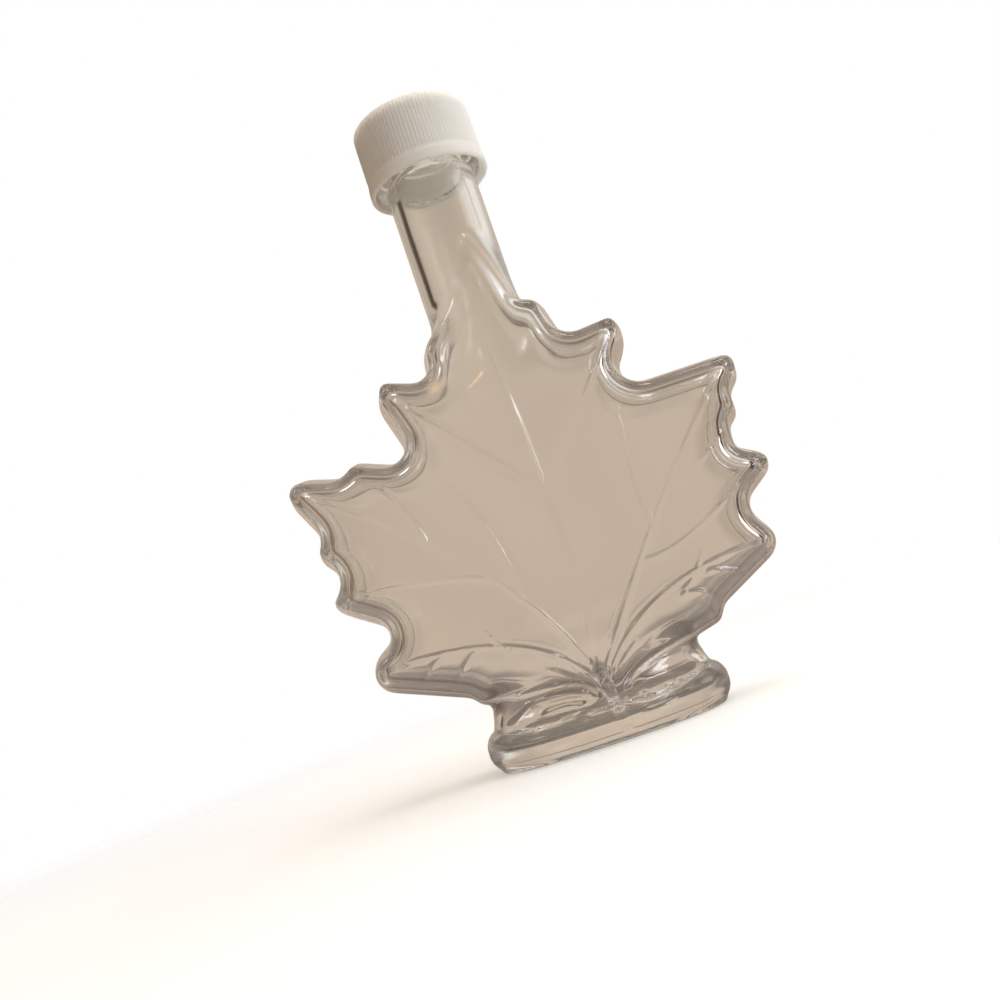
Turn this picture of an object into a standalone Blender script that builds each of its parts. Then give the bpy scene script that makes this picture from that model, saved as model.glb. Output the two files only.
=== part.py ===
"""Clear glass bottle in the shape of a maple leaf, on an oval foot, with a ribbed white screw cap.

Frame: +Z up, the foot stands on z = 0, X runs across the leaf and -Y is the front. Metres.
The glass is one skin of two closed forms, an outer one and a cavity. Each form is a distance field made
of named sizes: a leaf-shaped slab, a turned neck, an oval foot and a stem. The field is negative in the
glass, and a net of quads is laid over its zero surface and then thinned to few triangles.
"""

import math

import bmesh
import bpy
import numpy as np
import openvdb
from mathutils import Matrix

MM = 0.001

# Leaf outline at the mould seam (y = 0): corners in millimetres as (x, z, rounding radius), clockwise
# from the top of the lobe that runs up the neck. The two sides differ a little, as a real leaf's do.
RIGHT_CORNERS = (
    (4.5, 125.0, 3.0),
    (6.5, 113.0, 8.0),
    (10.9, 107.5, 2.2),
    (16.4, 105.3, 3.6),
    (19.0, 94.8, 3.6),
    (32.6, 95.8, 3.7),
    (33.1, 88.6, 11.0),
    (28.5, 82.4, 5.3),
    (31.1, 78.2, 4.4),
    (55.3, 77.9, 4.5),
    (56.0, 71.0, 4.1),
    (52.1, 68.1, 4.8),
    (52.3, 62.6, 1.7),
    (49.5, 60.3, 2.3),
    (49.0, 55.5, 1.1),
    (55.2, 51.9, 4.4),
    (55.3, 47.8, 2.9),
    (46.0, 41.3, 4.3),
    (52.8, 30.2, 5.0),
    (34.0, 20.8, 2.6),
    (31.8, 17.3, 1.3),
)
LEFT_CORNERS = (
    (-28.5, 16.1, 1.9),
    (-30.5, 18.6, 3.9),
    (-51.4, 27.0, 5.1),
    (-51.1, 34.2, 6.2),
    (-41.8, 39.3, 3.9),
    (-51.8, 46.0, 8.3),
    (-56.8, 49.9, 2.7),
    (-50.5, 55.6, 4.2),
    (-56.1, 61.8, 3.5),
    (-53.0, 66.2, 8.3),
    (-59.0, 78.0, 4.8),
    (-54.6, 83.0, 5.0),
    (-43.4, 79.4, 4.4),
    (-39.6, 82.3, 1.5),
    (-30.0, 78.4, 3.2),
    (-27.0, 80.6, 3.7),
    (-30.5, 92.9, 6.3),
    (-28.0, 99.3, 3.7),
    (-16.4, 95.1, 2.0),
    (-15.9, 102.5, 9.4),
    (-11.1, 107.6, 2.3),
    (-6.5, 113.0, 8.0),
    (-4.5, 125.0, 3.0),
)
# Along the foot the leaf's lower edge hangs in two swags that meet at the stem.
SWAG_CORNERS = (
    (24.0, 17.6, 6.0),
    (11.0, 16.4, 9.0),
    (3.6, 8.0, 2.0),
    (-1.8, 8.0, 2.0),
    (-5.0, 15.8, 6.0),
    (-18.0, 19.4, 9.0),
)

# Leaf slab: half depths and edge forms.
LEAF_HALF_DEPTH = 12.8 * MM
LEAF_DOME = 1.2 * MM  # how much the middle of a face stands prouder than its rim
LEAF_DOME_REACH = 12.0 * MM
LEAF_CROWN = 1.2 * MM  # and how much the whole face bellies out towards its centre
LEAF_CROWN_CENTRE = (0.0, 58.0 * MM)
LEAF_CROWN_REACH = 62.0 * MM
LEAF_DRAFT = math.radians(12.0)  # lean of the side walls, so the mould halves part
LEAF_SEAM_ROUND = 2.4 * MM
LEAF_RIM_ROUND = 3.2 * MM
LEAF_TOP_DEPTH = 11.0 * MM
LEAF_TOP_FADE = (91.0 * MM, 125.0 * MM)  # heights between which the slab thins to the neck's own depth

# Turned neck and the finish that the cap screws on.
NECK_RADIUS = 11.45 * MM
NECK_FOOT_Z = 89.0 * MM
BEAD_RADIUS = 13.6 * MM
BEAD_Z = (144.4 * MM, 147.0 * MM)
FINISH_RADIUS = 12.6 * MM
MOUTH_Z = 159.8 * MM
NECK_BLEND = 2.4 * MM
THREAD_RISE = 1.05 * MM
THREAD_HALF_WIDTH = 0.95 * MM
THREAD_PITCH = 3.6 * MM
THREAD_TURNS = 1.6
THREAD_START_Z = 150.0 * MM

# Oval foot with a waist over it: (height, half width, half depth) of each outline, and the power of
# its rounded-oval plan.
FOOT_STATIONS = (
    (0.0, 27.2 * MM, 16.4 * MM),
    (0.8 * MM, 28.9 * MM, 17.9 * MM),
    (2.6 * MM, 30.0 * MM, 18.8 * MM),
    (5.2 * MM, 30.2 * MM, 18.9 * MM),
    (7.2 * MM, 29.5 * MM, 18.2 * MM),
    (8.6 * MM, 28.2 * MM, 16.9 * MM),
    (9.4 * MM, 26.8 * MM, 15.2 * MM),
)
FOOT_POWER = 2.5
FOOT_CENTRE_X = -0.6 * MM
FOOT_TOP_Z = 9.6 * MM
FOOT_TOP_ROUND = 1.2 * MM
WAIST_STATIONS = (
    (5.0 * MM, 28.6 * MM, 15.2 * MM),
    (9.6 * MM, 27.0 * MM, 14.6 * MM),
    (12.0 * MM, 26.2 * MM, 13.4 * MM),
    (15.0 * MM, 25.6 * MM, 12.4 * MM),
    (20.0 * MM, 25.2 * MM, 11.8 * MM),
    (26.0 * MM, 24.8 * MM, 11.6 * MM),
)
WAIST_POWER = 3.2
WAIST_TOP_Z = 25.0 * MM
FOOT_HEEL_ROUND = 0.6 * MM
FOOT_CREASE = 0.7 * MM
WAIST_BLEND = 1.6 * MM

# Stem: a tapering ridge from the leaf's lower middle down over the front and back of the foot.
STEM_POINTS = (
    (0.4 * MM, 13.9 * MM, 18.0 * MM),
    (0.9 * MM, 14.8 * MM, 12.0 * MM),
    (1.6 * MM, 17.2 * MM, 8.4 * MM),
    (2.2 * MM, 18.6 * MM, 4.2 * MM),
)
STEM_RADII = (2.0 * MM, 1.5 * MM)
STEM_BLEND = 1.6 * MM

# Leaf veins, raised on both faces: (start, bend, end, height share) in millimetres, as (x, z).
VEINS = (
    ((0.6, 13.0), (2.2, 53.0), (0.4, 99.0), 1.0),
    ((1.4, 15.0), (24.0, 45.0), (47.5, 70.5), 1.0),
    ((0.0, 15.0), (-17.0, 45.0), (-49.5, 75.0), 1.0),
    ((2.0, 14.0), (20.0, 28.0), (46.0, 32.0), 1.0),
    ((-1.0, 15.0), (-18.0, 28.0), (-46.0, 31.5), 1.0),
    ((18.5, 36.5), (31.0, 39.0), (49.0, 49.0), 0.8),
    ((-16.6, 43.8), (-29.0, 47.5), (-48.5, 50.0), 0.8),
    ((30.2, 52.4), (37.0, 53.6), (44.5, 58.5), 0.7),
    ((-27.6, 55.6), (-29.5, 63.0), (-34.0, 73.0), 0.7),
    ((1.6, 59.0), (14.0, 72.0), (28.0, 90.0), 0.8),
    ((1.4, 62.0), (-12.0, 77.0), (-25.5, 92.5), 0.8),
    ((22.8, 42.2), (22.6, 57.0), (24.0, 72.0), 0.7),
    ((-10.6, 32.0), (-12.8, 53.0), (-20.0, 69.0), 0.6),
    ((25.0, 27.6), (29.0, 31.0), (33.0, 37.0), 0.7),
    ((-17.4, 26.6), (-20.6, 31.0), (-23.4, 36.6), 0.7),
    ((24.2, 26.4), (29.0, 25.2), (31.6, 21.4), 0.7),
    ((31.6, 29.6), (35.6, 28.4), (39.6, 26.6), 0.6),
    ((-25.4, 29.0), (-28.6, 26.4), (-31.2, 23.6), 0.7),
    ((-33.0, 30.4), (-36.0, 28.6), (-38.6, 26.4), 0.6),
)
VEIN_RISE = 0.5 * MM
VEIN_HALF_WIDTH = 1.2 * MM

# Cavity: how far it lies inside the outer form.
WALL = 2.7 * MM
CAVITY_RIM_ROUND = 5.0 * MM
CAVITY_FLOOR_Z = 4.6 * MM
BORE_RADIUS = 8.6 * MM
CAVITY_BLEND = 6.0 * MM
MOUTH_LIP_ROUND = 0.6 * MM

# The maps that hold the leaf's plan, and the net laid over the glass.
MAP_STEP = 0.4 * MM
MAP_MARGIN = 8.0 * MM
RIM_SOFTEN = 0.9 * MM
CAVITY_SOFTEN = 1.3 * MM
NET_STEP = 1.1 * MM
EVEN_STEPS = 4
GLASS_TRIANGLES = 10200

# Cap: outer wall with ribs down to a plain band, inner wall over the finish.
CAP_BOTTOM_Z = 143.8 * MM
CAP_TOP_Z = 161.6 * MM
CAP_BAND_Z = 147.4 * MM
CAP_BAND_RADIUS = 15.4 * MM
CAP_RIB_RADIUS = 15.1 * MM
CAP_GROOVE_DEPTH = 0.35 * MM
CAP_TOP_ROUND = 1.1 * MM
CAP_RIM_ROUND = 0.4 * MM
CAP_INNER_RADIUS = 14.1 * MM
CAP_CROWN = 1.45 * MM
CAP_RIBS = 100

GLASS_COLOUR = (0.86, 0.88, 0.85, 1.0)
CAP_COLOUR = (0.90, 0.89, 0.87, 1.0)


def smooth_step(value, low, high):
    t = np.clip((value - low) / (high - low), 0.0, 1.0)
    return t * t * (3.0 - 2.0 * t)


def smooth_max(a, b, radius):
    """The larger of two fields, with the edge where they meet rounded."""
    h = np.maximum(radius - np.abs(a - b), 0.0) / radius
    return np.maximum(a, b) + h * h * radius * 0.25


def smooth_min(a, b, radius):
    return -smooth_max(-a, -b, radius)


def rounded_polygon(corners, arc_step=0.35):
    """Points in metres round a polygon whose corners (x, z, radius) are filleted."""
    corners = np.array(corners, float)
    points = []
    for here, before, after in zip(corners, np.roll(corners, 1, 0), np.roll(corners, -1, 0)):
        to_before = before[:2] - here[:2]
        to_after = after[:2] - here[:2]
        room = 0.48 * min(np.linalg.norm(to_before), np.linalg.norm(to_after))
        to_before /= np.linalg.norm(to_before)
        to_after /= np.linalg.norm(to_after)
        half = 0.5 * math.acos(np.clip(to_before @ to_after, -1.0, 1.0))
        reach = min(here[2] / math.tan(half), room)
        radius = reach * math.tan(half)
        bisector = to_before + to_after
        centre = here[:2] + bisector / np.linalg.norm(bisector) * math.hypot(reach, radius)
        start = here[:2] + to_before * reach - centre
        end = here[:2] + to_after * reach - centre
        turn = math.pi - 2.0 * half
        steps = max(2, int(turn / arc_step) + 1)
        sine = math.sin(turn)
        for step in range(steps + 1):
            t = step / steps
            mix = math.sin((1 - t) * turn) * start + math.sin(t * turn) * end
            points.append(centre + mix / sine)
    return np.array(points) * MM


def signed_distance(x, z, outline):
    """Distance to a closed outline, positive inside it, at each point of equal arrays."""
    points = np.stack([x.ravel(), z.ravel()], 1)
    nearest = np.full(len(points), np.inf)
    inside = np.zeros(len(points), bool)
    for a, b in zip(outline, np.roll(outline, -1, 0)):
        edge = b - a
        offset = points - a
        along = np.clip(offset @ edge / (edge @ edge), 0.0, 1.0)
        nearest = np.minimum(nearest, ((offset - along[:, None] * edge) ** 2).sum(1))
        if a[1] != b[1]:
            crosses = (a[1] > points[:, 1]) != (b[1] > points[:, 1])
            at = a[0] + (points[:, 1] - a[1]) * edge[0] / edge[1]
            inside ^= crosses & (points[:, 0] < at)
    return (np.sqrt(nearest) * np.where(inside, 1.0, -1.0)).reshape(x.shape)


def blurred(values, sigma):
    """The map softened by a Gaussian of that width, with its borders held."""
    reach = int(3 * sigma / MAP_STEP) + 1
    kernel = np.exp(-0.5 * (np.arange(-reach, reach + 1) * MAP_STEP / sigma) ** 2)
    kernel /= kernel.sum()
    for axis in (0, 1):
        pad = [(reach, reach) if a == axis else (0, 0) for a in (0, 1)]
        padded = np.pad(values, pad, mode="reflect", reflect_type="odd")
        values = np.apply_along_axis(np.convolve, axis, padded, kernel, mode="valid")
    return values


def vein_relief(x, z):
    """How far the veins rise over the face, as a map."""
    relief = np.zeros(x.shape)
    for start, bend, end, share in VEINS:
        start, bend, end = (np.array(p) * MM for p in (start, bend, end))
        # The curve passes through its bend at its middle.
        pull = 2.0 * bend - 0.5 * (start + end)
        for t in np.linspace(0.0, 1.0, 61):
            at = (1 - t) ** 2 * start + 2 * t * (1 - t) * pull + t * t * end
            away = ((x - at[0]) ** 2 + (z - at[1]) ** 2) / VEIN_HALF_WIDTH**2
            fade = 1.0 - 0.75 * t * t
            relief = np.maximum(relief, share * fade * VEIN_RISE * np.exp(-away))
    return relief


class Map:
    """A map over the leaf's plan, read anywhere by cubic interpolation."""

    def __init__(self, x_low, z_low, values):
        self.low = (x_low, z_low)
        self.values = values

    def __call__(self, x, z):
        x, z = np.broadcast_arrays(x, z)
        found = 0.0
        weights = []
        for axis, value in enumerate((x, z)):
            place = (value - self.low[axis]) / MAP_STEP
            place = np.clip(place, 1.0, self.values.shape[axis] - 2.001)
            cell = np.floor(place).astype(int)
            t = place - cell
            weights.append((cell, (
                t * (-0.5 + t * (1.0 - 0.5 * t)),
                1.0 + t * t * (-2.5 + 1.5 * t),
                t * (0.5 + t * (2.0 - 1.5 * t)),
                t * t * (-0.5 + 0.5 * t),
            )))
        (i, across), (k, up) = weights
        for di in range(4):
            for dk in range(4):
                found = found + across[di] * up[dk] * self.values[i + di - 1, k + dk - 1]
        return found


def leaf_maps():
    """Maps of the distance inside the outline, for the outer form and for the cavity, and of the veins."""
    outline = rounded_polygon(RIGHT_CORNERS + SWAG_CORNERS + LEFT_CORNERS)
    low = outline.min(0) - MAP_MARGIN
    high = outline.max(0) + MAP_MARGIN
    x, z = np.meshgrid(
        np.arange(low[0], high[0], MAP_STEP), np.arange(low[1], high[1], MAP_STEP), indexing="ij"
    )
    distance = signed_distance(x, z, outline)
    return tuple(
        Map(low[0], low[1], values)
        for values in (blurred(distance, RIM_SOFTEN), blurred(distance, CAVITY_SOFTEN), vein_relief(x, z))
    )


OUTER_INSIDE, CAVITY_INSIDE, VEIN_MAP = leaf_maps()


def slab(inside, y, face, rim_round):
    """A slab of half depth `face` within the leaf's plan, with drafted sides and a rounded rim."""
    depth = np.sqrt(y * y + LEAF_SEAM_ROUND**2) - LEAF_SEAM_ROUND
    side = -inside * math.cos(LEAF_DRAFT) + depth * math.sin(LEAF_DRAFT)
    return smooth_max(side, np.abs(y) - face, rim_round)


def face_depth(inside, x, z):
    """Half depth of the leaf's faces: a low dome that thins up the neck."""
    from_centre = ((x - LEAF_CROWN_CENTRE[0]) ** 2 + (z - LEAF_CROWN_CENTRE[1]) ** 2) / LEAF_CROWN_REACH**2
    dome = LEAF_DOME * smooth_step(inside, 0.0, LEAF_DOME_REACH) - LEAF_CROWN * np.minimum(from_centre, 1.0)
    up_neck = smooth_step(z, *LEAF_TOP_FADE)
    return (LEAF_HALF_DEPTH + LEAF_CROWN + dome) * (1 - up_neck) + LEAF_TOP_DEPTH * up_neck


def thread_rise(x, y, z):
    """Height of the helical thread over the finish."""
    turn = np.arctan2(y, x) / (2 * math.pi) + 0.5
    rise = np.zeros(np.broadcast(x, y, z).shape)
    for lap in range(int(THREAD_TURNS) + 1):
        turned = turn + lap
        centre = THREAD_START_Z + THREAD_PITCH * turned
        ends = smooth_step(turned, 0.0, 0.08) * (1 - smooth_step(turned, THREAD_TURNS - 0.08, THREAD_TURNS))
        rise = np.maximum(rise, ends * np.exp(-(((z - centre) / THREAD_HALF_WIDTH) ** 2)))
    return THREAD_RISE * rise


def neck_radius(z):
    """Outer radius of the neck: plain, then the bead under the cap, then the finish."""
    soft = 0.7 * MM
    bead = smooth_step(z, BEAD_Z[0] - soft, BEAD_Z[0] + soft)
    finish = smooth_step(z, BEAD_Z[1] - soft, BEAD_Z[1] + soft)
    return NECK_RADIUS + (BEAD_RADIUS - NECK_RADIUS) * bead - (BEAD_RADIUS - FINISH_RADIUS) * finish


def oval(x, y, z, stations, power, inset):
    """A form whose plan is a rounded oval at every height, drawn in by `inset`."""
    heights, widths, depths = (np.array(column) for column in zip(*stations))
    half_width = np.interp(z, heights, widths) - inset
    half_depth = np.interp(z, heights, depths) - inset
    ratio = (np.abs(x / half_width) ** power + np.abs(y / half_depth) ** power) ** (1 / power)
    # The way to the wall is half_depth long across the oval's middle and half_width along it.
    return (ratio - 1.0) * np.minimum(np.hypot(x, y) / np.maximum(ratio, 1e-6), half_width)


def foot(x, y, z, inset):
    """The foot and the waist that joins it to the leaf, drawn in by `inset`."""
    x = x - FOOT_CENTRE_X
    base = oval(x, y, z, FOOT_STATIONS, FOOT_POWER, inset)
    base = smooth_max(base, z - FOOT_TOP_Z + inset, FOOT_TOP_ROUND)
    waist = oval(x, y, z, WAIST_STATIONS, WAIST_POWER, inset)
    waist = smooth_max(waist, z - WAIST_TOP_Z, WAIST_BLEND)
    return smooth_min(base, waist, FOOT_CREASE + inset)


def stem(x, y, z):
    """A tapering tube through the stem's points, mirrored to the back."""
    points = np.array(STEM_POINTS)
    field = np.full(np.broadcast(x, y, z).shape, 1.0)
    spans = len(points) - 1
    for i in range(spans):
        a, b = points[i], points[i + 1]
        edge = b - a
        px, py, pz = x - a[0], np.abs(y) - a[1], z - a[2]
        along = np.clip((px * edge[0] + py * edge[1] + pz * edge[2]) / (edge @ edge), 0.0, 1.0)
        away = np.sqrt((px - along * edge[0]) ** 2 + (py - along * edge[1]) ** 2 + (pz - along * edge[2]) ** 2)
        radius = STEM_RADII[0] + (STEM_RADII[1] - STEM_RADII[0]) * (i + along) / spans
        field = smooth_min(field, away - radius, STEM_BLEND)
    return field


def outer_form(x, y, z):
    inside = OUTER_INSIDE(x, z)
    leaf = slab(inside, y, face_depth(inside, x, z) + VEIN_MAP(x, z), LEAF_RIM_ROUND)
    radius = np.hypot(x, y)
    neck = radius - neck_radius(z) - thread_rise(x, y, z)
    neck = smooth_max(neck, NECK_FOOT_Z - z, NECK_BLEND)
    body = smooth_min(leaf, neck, NECK_BLEND)
    body = smooth_min(body, foot(x, y, z, 0.0), WAIST_BLEND)
    body = smooth_min(body, stem(x, y, z), STEM_BLEND)
    body = smooth_max(body, z - MOUTH_Z, MOUTH_LIP_ROUND)
    return smooth_max(body, -z, FOOT_HEEL_ROUND)


def cavity(x, y, z):
    inside = CAVITY_INSIDE(x, z)
    leaf = slab(inside - WALL, y, face_depth(inside, x, z) - WALL, CAVITY_RIM_ROUND)
    bore = smooth_max(np.hypot(x, y) - BORE_RADIUS, NECK_FOOT_Z - z, CAVITY_BLEND)
    hollow = smooth_min(smooth_min(leaf, bore, CAVITY_BLEND), foot(x, y, z, WALL), CAVITY_BLEND)
    return smooth_max(hollow, CAVITY_FLOOR_Z - z, CAVITY_RIM_ROUND)


def glass(x, y, z):
    """Negative in the glass: inside the outer form and outside the cavity."""
    return smooth_max(outer_form(x, y, z), -cavity(x, y, z), MOUTH_LIP_ROUND)


def surface_net(field, low, high):
    """Vertices and quads over the field's zero surface, one vertex for each cell that it crosses."""
    axes = [np.arange(a, b + NET_STEP, NET_STEP) for a, b in zip(low, high)]
    values = field(axes[0][:, None, None], axes[1][None, :, None], axes[2][None, None, :])
    grid = openvdb.FloatGrid(1.0)
    grid.copyFromArray(values / NET_STEP)
    vertices, quads = grid.convertToQuads(0.0)
    return vertices * NET_STEP + np.array(low), quads


def evened(vertices, quads):
    """The vertices moved half way to the middle of their neighbours."""
    total = np.zeros(vertices.shape)
    count = np.zeros(len(vertices))
    for here, there in zip(quads.T, np.roll(quads, 1, 1).T):
        for a, b in ((here, there), (there, here)):
            count += np.bincount(a, minlength=len(vertices))
            for axis in range(3):
                total[:, axis] += np.bincount(a, weights=vertices[b, axis], minlength=len(vertices))
    return 0.5 * vertices + 0.5 * total / count[:, None]


def snapped(field, vertices):
    """The vertices moved onto the field's zero surface along its slope."""
    tiny = 0.02 * MM
    x, y, z = vertices.T
    here = field(x, y, z)
    slope = np.stack([
        field(x + tiny, y, z) - field(x - tiny, y, z),
        field(x, y + tiny, z) - field(x, y - tiny, z),
        field(x, y, z + tiny) - field(x, y, z - tiny),
    ], 1) / (2 * tiny)
    move = here[:, None] * slope / np.maximum((slope**2).sum(1), 0.1)[:, None]
    limit = 0.3 * NET_STEP
    length = np.maximum(np.linalg.norm(move, axis=1), 1e-9)
    return vertices - move * np.minimum(1.0, limit / length)[:, None]


def material(name, colour, roughness, transmission=0.0):
    made = bpy.data.materials.new(name)
    made.use_nodes = True
    shader = made.node_tree.nodes["Principled BSDF"]
    shader.inputs["Base Color"].default_value = colour
    shader.inputs["Roughness"].default_value = roughness
    shader.inputs["Transmission Weight"].default_value = transmission
    shader.inputs["Metallic"].default_value = 0.0
    return made


def add_object(name, mesh, finish):
    made = bpy.data.objects.new(name, mesh)
    bpy.context.scene.collection.objects.link(made)
    mesh.materials.append(finish)
    return made


def thinned(mesh, triangles):
    """A copy of the mesh with so many triangles. It is thinned in millimetres, where no triangle is tiny."""
    mesh.transform(Matrix.Scale(1 / MM, 4))
    model = bpy.data.objects.new("thinning", mesh)
    bpy.context.scene.collection.objects.link(model)
    thin = model.modifiers.new("thin", "DECIMATE")
    thin.ratio = triangles / (2 * len(mesh.polygons))
    graph = bpy.context.evaluated_depsgraph_get()
    made = bpy.data.meshes.new_from_object(model.evaluated_get(graph))
    bpy.data.objects.remove(model)
    made.transform(Matrix.Scale(MM, 4))
    return made


def build_bottle():
    """The glass: a net over the field, thinned to few triangles."""
    low = (-62.4 * MM, -21.0 * MM, -1.8 * MM)
    high = (62.4 * MM, 21.0 * MM, 161.4 * MM)
    vertices, quads = surface_net(glass, low, high)
    for _ in range(EVEN_STEPS):
        vertices = snapped(glass, evened(vertices, quads))
    vertices = snapped(glass, vertices)
    net = bpy.data.meshes.new("bottle")
    net.from_pydata(vertices.tolist(), [], quads.tolist())
    mesh = thinned(net, GLASS_TRIANGLES)
    mesh.shade_smooth()
    return add_object("bottle", mesh, material("clear_glass", GLASS_COLOUR, 0.02, 1.0))


def ring(form, radius, z, groove=0.0):
    """A ring at height z with two vertices a rib, every other one `groove` deep."""
    verts = []
    for i in range(2 * CAP_RIBS):
        angle = math.pi * i / CAP_RIBS
        reach = radius - groove * (i % 2)
        verts.append(form.verts.new((reach * math.cos(angle), reach * math.sin(angle), z)))
    return verts


def build_cap():
    """The cap as rings from its inner crown, down inside, round the rim and up over the ribs."""
    form = bmesh.new()
    rings = [
        ring(form, CAP_INNER_RADIUS, CAP_TOP_Z - CAP_CROWN),
        ring(form, CAP_INNER_RADIUS, CAP_BOTTOM_Z),
        ring(form, CAP_BAND_RADIUS - CAP_RIM_ROUND, CAP_BOTTOM_Z),
        ring(form, CAP_BAND_RADIUS, CAP_BOTTOM_Z + CAP_RIM_ROUND),
        ring(form, CAP_BAND_RADIUS, CAP_BAND_Z - CAP_RIM_ROUND),
        ring(form, CAP_RIB_RADIUS, CAP_BAND_Z, CAP_GROOVE_DEPTH),
        ring(form, CAP_RIB_RADIUS, CAP_TOP_Z - CAP_TOP_ROUND, CAP_GROOVE_DEPTH),
        ring(form, CAP_RIB_RADIUS - 0.3 * CAP_TOP_ROUND, CAP_TOP_Z - 0.3 * CAP_TOP_ROUND),
        ring(form, CAP_RIB_RADIUS - CAP_TOP_ROUND, CAP_TOP_Z),
    ]
    for lower, upper in zip(rings, rings[1:]):
        for i in range(len(lower)):
            j = (i + 1) % len(lower)
            form.faces.new((lower[i], lower[j], upper[j], upper[i]))
    form.faces.new(list(reversed(rings[0])))
    form.faces.new(rings[-1])
    bmesh.ops.recalc_face_normals(form, faces=form.faces)
    mesh = bpy.data.meshes.new("cap")
    form.to_mesh(mesh)
    form.free()
    return add_object("cap", mesh, material("white_plastic", CAP_COLOUR, 0.4))


def main():
    for old in list(bpy.data.objects):
        bpy.data.objects.remove(old)
    build_bottle()
    build_cap()


main()
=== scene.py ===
"""Clear glass bottle in the shape of a maple leaf, with a ribbed white screw cap, on a pale studio floor.

The glass is a net laid over the zero surface of a distance field, finer than the CAD solid that it stands
for, with normals read from the same field. Metres, +Z up, the front is -Y.
"""

import math

import bmesh
import bpy
import numpy as np
import openvdb
from mathutils import Matrix, Vector


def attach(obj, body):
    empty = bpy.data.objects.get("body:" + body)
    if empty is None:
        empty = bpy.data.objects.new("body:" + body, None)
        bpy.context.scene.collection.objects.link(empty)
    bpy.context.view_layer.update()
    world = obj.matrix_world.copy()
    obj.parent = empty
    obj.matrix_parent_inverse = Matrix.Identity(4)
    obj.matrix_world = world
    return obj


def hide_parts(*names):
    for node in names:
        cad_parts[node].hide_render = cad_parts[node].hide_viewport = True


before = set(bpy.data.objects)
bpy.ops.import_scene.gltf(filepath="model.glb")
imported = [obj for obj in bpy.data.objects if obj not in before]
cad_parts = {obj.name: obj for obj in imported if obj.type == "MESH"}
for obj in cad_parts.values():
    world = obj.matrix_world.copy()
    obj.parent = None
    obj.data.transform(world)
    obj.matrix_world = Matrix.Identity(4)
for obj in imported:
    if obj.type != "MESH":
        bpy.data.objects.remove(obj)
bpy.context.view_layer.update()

MM = 0.001

# Leaf outline at the mould seam (y = 0): corners in millimetres as (x, z, rounding radius), clockwise
# from the top of the lobe that runs up the neck. The two sides differ a little, as a real leaf's do.
RIGHT_CORNERS = (
    (4.2, 128.4, 2.2),
    (8.4, 117.5, 14.0),
    (11.4, 107.0, 2.6),
    (16.4, 105.3, 3.6),
    (19.0, 94.8, 3.6),
    (32.6, 95.8, 3.7),
    (33.1, 88.6, 11.0),
    (28.5, 82.4, 5.3),
    (31.1, 78.2, 4.4),
    (55.2, 77.9, 4.5),
    (55.85, 71.0, 4.1),
    (52.1, 68.1, 4.8),
    (52.3, 62.6, 1.7),
    (49.5, 60.3, 2.3),
    (49.0, 55.5, 1.1),
    (55.2, 51.9, 4.4),
    (55.2, 47.8, 2.9),
    (46.0, 41.3, 4.3),
    (52.8, 30.2, 5.0),
    (34.0, 20.8, 2.6),
    (31.8, 17.3, 1.3),
)
LEFT_CORNERS = (
    (-28.5, 16.1, 1.9),
    (-30.5, 18.6, 3.9),
    (-51.4, 27.0, 5.1),
    (-51.1, 34.2, 6.2),
    (-41.8, 39.3, 3.9),
    (-51.8, 46.0, 8.3),
    (-56.8, 49.9, 2.7),
    (-50.5, 55.6, 4.2),
    (-56.1, 61.8, 3.5),
    (-53.0, 66.2, 8.3),
    (-58.9, 78.0, 4.8),
    (-54.6, 83.0, 5.0),
    (-43.4, 79.4, 4.4),
    (-39.6, 82.3, 1.5),
    (-30.0, 78.4, 3.2),
    (-27.0, 80.6, 3.7),
    (-30.5, 92.9, 6.3),
    (-28.0, 99.3, 3.7),
    (-16.4, 95.1, 2.0),
    (-15.9, 102.5, 9.4),
    (-11.1, 106.4, 2.3),
    (-4.6, 111.0, 3.0),
)
# Along the foot the leaf's lower edge hangs in two swags that meet at the stem.
SWAG_CORNERS = (
    (24.0, 15.4, 6.0),
    (12.5, 14.6, 8.0),
    (5.0, 6.6, 2.0),
    (-2.4, 6.8, 2.0),
    (-5.2, 13.6, 5.0),
    (-18.0, 14.2, 8.0),
)

CORNER_ROOM = 0.48  # the most of an edge that a corner's rounding takes
ARC_STEP = 0.35  # radians between the points of a rounding

# Leaf slab: half depths and edge forms.
LEAF_HALF_DEPTH = 12.8 * MM
LEAF_DOME = 0.8 * MM  # how much the middle of a face stands prouder than its rim
LEAF_DOME_REACH = 12.0 * MM
LEAF_CROWN = 1.2 * MM  # and how much the whole face bellies out towards its centre
LEAF_CROWN_CENTRE = (0.0, 58.0 * MM)
LEAF_CROWN_REACH = 62.0 * MM
LEAF_HEM_DROP = 1.5 * MM  # the faces also slope off where they hang over the foot
LEAF_HEM_Z = (15.0 * MM, 24.0 * MM)
LEAF_DRAFT = math.radians(12.0)  # lean of the side walls, so the mould halves part
LEAF_SEAM_ROUND = 1.6 * MM
LEAF_RIM_ROUND = 1.7 * MM
LEAF_TOP_DEPTH = 11.2 * MM
LEAF_TOP_FADE = (82.0 * MM, 108.0 * MM)  # heights between which the slab thins to the neck's own depth

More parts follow.
